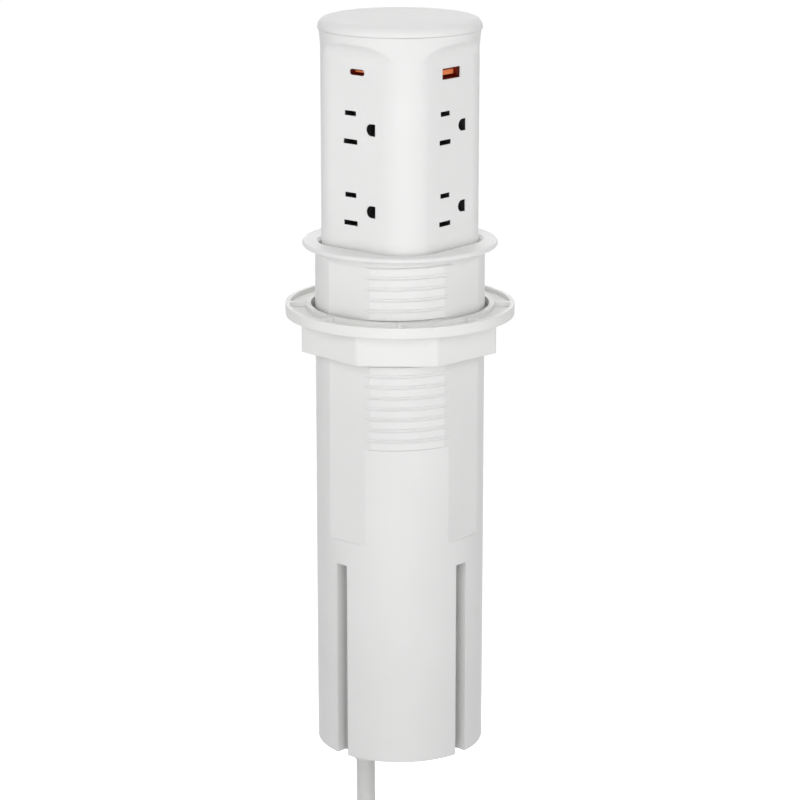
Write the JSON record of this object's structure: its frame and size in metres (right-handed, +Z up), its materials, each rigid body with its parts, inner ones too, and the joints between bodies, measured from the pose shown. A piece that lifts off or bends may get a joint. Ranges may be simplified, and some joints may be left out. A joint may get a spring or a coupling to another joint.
{
  "type": "pop up desk socket",
  "caption": "Round desk socket whose spring-lifted tower of outlets and USB ports rises from a threaded tube clamped in a desk hole by a ribbed washer and nut.",
  "frame": {"origin": "centre of the collar lip's underside, on the desk top", "axes": "+Z up along the tube; the tower's faces look along -Y (front, USB-C), +X (right, USB-A), +Y and -X"},
  "size_m": [0.1048, 0.1441, 0.6322],
  "materials": {
    "tower_white": "satin moulded white",
    "tube_white": "satin moulded white",
    "clamp_white": "satin moulded warm white",
    "dark_plastic": "matt black",
    "cord_jacket": "matt light grey",
    "steel": "drawn",
    "brass": "bright",
    "orange_plastic": "satin",
    "board_green": "satin",
    "felt": "felted",
    "tie_webbing": "woven"
  },
  "bodies": {
    "housing": {"housing_tube": "tube_white", "collar_ring": "tube_white", "bottom_cap": "tube_white", "bottom_cap_screws": "steel", "latch_post": "dark_plastic", "latch_body": "dark_plastic", "latch_spring": "steel", "lift_spring": "steel", "cord_gland": "tube_white", "inner_lead": "cord_jacket", "power_cord": "cord_jacket", "cord_coil": "cord_jacket", "plug_lead": "cord_jacket", "cord_tie": "tie_webbing", "plug_body": "cord_jacket", "plug_blades": "brass", "plug_ground_pin": "brass"},
    "tower": {"tower_shell": "tower_white", "top_cap": "tower_white", "carriage": "tube_white", "carriage_screws": "steel", "felt_ring_upper": "felt", "felt_ring_lower": "felt", "latch_striker": "steel", "lead_grip": "dark_plastic", "outlet_carrier_1": "dark_plastic", "outlet_carrier_2": "dark_plastic", "outlet_carrier_3": "dark_plastic", "outlet_carrier_4": "dark_plastic", "line_contacts": "brass", "neutral_contacts": "brass", "ground_contacts": "brass", "charger_board": "board_green", "charger_parts": "dark_plastic", "usb_c_shell_1": "steel", "usb_a_shell_1": "steel", "usb_c_shell_2": "steel", "usb_a_shell_2": "steel", "usb_c_tongue_1": "orange_plastic", "usb_a_tongue_1": "orange_plastic", "usb_c_tongue_2": "orange_plastic", "usb_a_tongue_2": "orange_plastic"},
    "latch_catch": {"latch_catch": "orange_plastic"},
    "clamp_washer": {"clamp_washer": "clamp_white"},
    "clamp_nut": {"clamp_nut": "clamp_white"}
  },
  "joints": [
    {"name": "tower_slide", "type": "slide", "parent": "housing", "child": "tower", "axis": [0, 0, 1], "range_m": [-0.086, 0], "stiffness_N_per_m": 60, "springref_m": 0.15, "deforming": ["lift_spring", "inner_lead"]},
    {"name": "latch_press", "type": "slide", "parent": "housing", "child": "latch_catch", "axis": [0, 0, 1], "range_m": [-0.004, 0], "stiffness_N_per_m": 300, "springref_m": 0.003, "deforming": ["latch_spring"]},
    {"name": "washer_travel", "type": "slide", "parent": "housing", "child": "clamp_washer", "axis": [0, 0, 1], "range_m": [-0.0351, 0.0201]},
    {"name": "nut_turn", "type": "hinge", "parent": "clamp_washer", "child": "clamp_nut", "pos_m": [0, 0, -0.039], "axis": [0, 0, 1], "range_deg": [-2520, 1440]}
  ],
  "couplings": [
    {"joint": "washer_travel", "follows": "nut_turn", "m_per_rad": 0.00079577}
  ]
}
